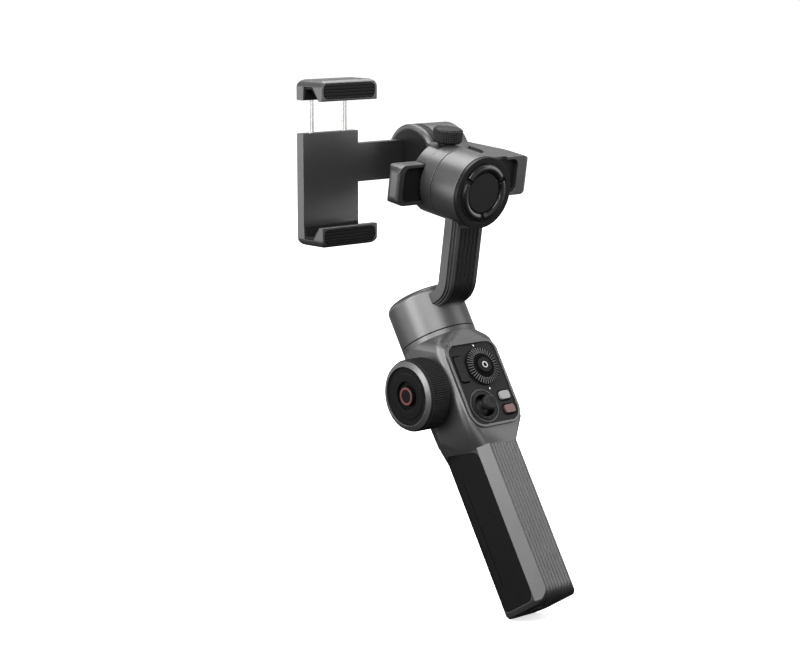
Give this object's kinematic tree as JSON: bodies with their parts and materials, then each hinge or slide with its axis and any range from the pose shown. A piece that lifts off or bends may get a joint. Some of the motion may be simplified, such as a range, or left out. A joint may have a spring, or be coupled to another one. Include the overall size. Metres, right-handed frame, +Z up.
{
  "type": "handheld phone gimbal",
  "caption": "Hand-held phone gimbal: leaning grip with control panel and side hand wheel, motors on the pan, roll and tilt axes, slide arm and a spring clamp.",
  "frame": {"origin": "centre of the tripod thread's mouth at the bottom of the grip", "axes": "+Z up with the head level, the user on the -Y side, +X to the user's right along the tilt axis; the grip leans forward in the YZ plane"},
  "size_m": [0.113, 0.1465, 0.2687],
  "materials": {
    "shell_grey": "satin metallic grey paint",
    "arm_grey": "satin grey anodised",
    "black_plastic": "matte",
    "black_rubber": "fine grain",
    "bright_ring": "satin bright",
    "steel": "ground",
    "lamination": "wound core",
    "board": "solder mask",
    "cell_wrap": "shrink wrap",
    "light_lens": "clear white",
    "key_grey": "satin",
    "key_red": "satin"
  },
  "bodies": {
    "handle": {"front_shell": "shell_grey", "rear_shell": "shell_grey", "left_grip": "black_rubber", "right_grip": "black_rubber", "base_cap": "black_plastic", "tripod_insert": "steel", "shell_screws": "steel", "control_panel": "black_plastic", "indicator_lights": "light_lens", "control_board": "board", "main_board": "board", "battery_cell": "cell_wrap", "joystick_base": "black_plastic", "trigger_pin": "steel", "wheel_axle": "black_plastic", "pan_base": "arm_grey", "pan_stator": "lamination", "pan_bearings": "steel"},
    "pan_stage": {"pan_rotor": "arm_grey", "pan_magnets": "steel", "pan_shaft": "steel", "pan_arm": "arm_grey", "arm_insert": "black_rubber", "roll_housing": "arm_grey", "roll_stator": "lamination", "roll_bearings": "steel", "roll_cover": "black_plastic", "roll_badge": "black_plastic"},
    "roll_stage": {"roll_rotor": "arm_grey", "roll_magnets": "steel", "roll_shaft": "steel", "slide_clamp": "arm_grey"},
    "slide_stage": {"slide_bar": "arm_grey", "bar_insert": "black_rubber", "tilt_housing": "arm_grey", "tilt_stator": "lamination", "tilt_bearings": "steel"},
    "knob": {"lock_knob": "black_rubber"},
    "tilt_stage": {"tilt_rotor": "black_plastic", "tilt_magnets": "steel", "tilt_shaft": "steel", "clamp_body": "shell_grey", "lower_jaw_pad": "black_rubber", "lower_tread": "black_rubber"},
    "jaw": {"upper_jaw": "shell_grey", "guide_rods": "steel", "upper_jaw_pad": "black_rubber", "upper_tread": "black_rubber"},
    "hand_wheel": {"wheel_rim": "black_rubber", "wheel_ring": "bright_ring", "wheel_face": "black_plastic"},
    "wheel_key": {"wheel_button": "black_plastic"},
    "dial": {"control_dial": "black_plastic"},
    "dial_key": {"dial_button": "black_rubber"},
    "stick_cradle": {"joystick_cradle": "steel"},
    "stick": {"joystick": "black_rubber"},
    "mode_key": {"mode_button": "key_grey"},
    "record_key": {"record_button": "key_red"},
    "rocker": {"menu_rocker": "black_rubber"},
    "trigger_lever": {"trigger": "black_plastic"}
  },
  "joints": [
    {"name": "pan_turn", "type": "hinge", "parent": "handle", "child": "pan_stage", "pos_m": [0, 0.07777, 0.12592], "axis": [0, 0.5255, 0.8508], "range_deg": [-165, 165]},
    {"name": "roll_turn", "type": "hinge", "parent": "pan_stage", "child": "roll_stage", "pos_m": [0, 0.06369, 0.20795], "axis": [0, -0.9885, -0.1513], "range_deg": [-50, 95]},
    {"name": "arm_slide", "type": "slide", "parent": "roll_stage", "child": "slide_stage", "axis": [1, 0, 0], "range_m": [-0.008, 0]},
    {"name": "knob_turn", "type": "hinge", "parent": "roll_stage", "child": "knob", "pos_m": [0.0015, 0.07332, 0.22966], "axis": [0, -0.1513, 0.9885], "range_deg": [-180, 180]},
    {"name": "tilt_turn", "type": "hinge", "parent": "slide_stage", "child": "tilt_stage", "pos_m": [0.025, 0.11557, 0.21592], "axis": [1, 0, 0], "range_deg": [-40, 40]},
    {"name": "jaw_spread", "type": "slide", "parent": "tilt_stage", "child": "jaw", "axis": [0, 0, 1], "range_m": [-0.013, 0.013], "stiffness_N_per_m": 800},
    {"name": "wheel_spin", "type": "hinge", "parent": "handle", "child": "hand_wheel", "pos_m": [-0.028, 0.06236, 0.10288], "axis": [-1, 0, 0], "continuous": true},
    {"name": "wheel_press", "type": "slide", "parent": "handle", "child": "wheel_key", "axis": [1, 0, 0], "range_m": [0, 0.0008], "stiffness_N_per_m": 600},
    {"name": "dial_spin", "type": "hinge", "parent": "handle", "child": "dial", "pos_m": [0.0028, 0.04783, 0.1155], "axis": [0, -0.8508, 0.5255], "continuous": true},
    {"name": "dial_press", "type": "slide", "parent": "handle", "child": "dial_key", "axis": [0, 0.8508, -0.5255], "range_m": [0, 0.0006], "stiffness_N_per_m": 600},
    {"name": "stick_nod", "type": "hinge", "parent": "handle", "child": "stick_cradle", "pos_m": [-0.0053, 0.04279, 0.0944], "axis": [1, 0, 0], "range_deg": [-15, 15], "stiffness_Nm_per_rad": 0.03},
    {"name": "stick_sway", "type": "hinge", "parent": "stick_cradle", "child": "stick", "pos_m": [-0.0053, 0.04279, 0.0944], "axis": [0, 0.5255, 0.8508], "range_deg": [-15, 15], "stiffness_Nm_per_rad": 0.03},
    {"name": "mode_press", "type": "slide", "parent": "handle", "child": "mode_key", "axis": [0, 0.8508, -0.5255], "range_m": [0, 0.0006], "stiffness_N_per_m": 600},
    {"name": "record_press", "type": "slide", "parent": "handle", "child": "record_key", "axis": [0, 0.8508, -0.5255], "range_m": [0, 0.0006], "stiffness_N_per_m": 600},
    {"name": "rocker_rock", "type": "hinge", "parent": "handle", "child": "rocker", "pos_m": [-0.0112, 0.05227, 0.11299], "axis": [1, 0, 0], "range_deg": [-4, 4], "stiffness_Nm_per_rad": 0.05},
    {"name": "trigger_pull", "type": "hinge", "parent": "handle", "child": "trigger_lever", "pos_m": [0, 0.07862, 0.10541], "axis": [1, 0, 0], "range_deg": [-8, 0], "stiffness_Nm_per_rad": 0.3}
  ]
}
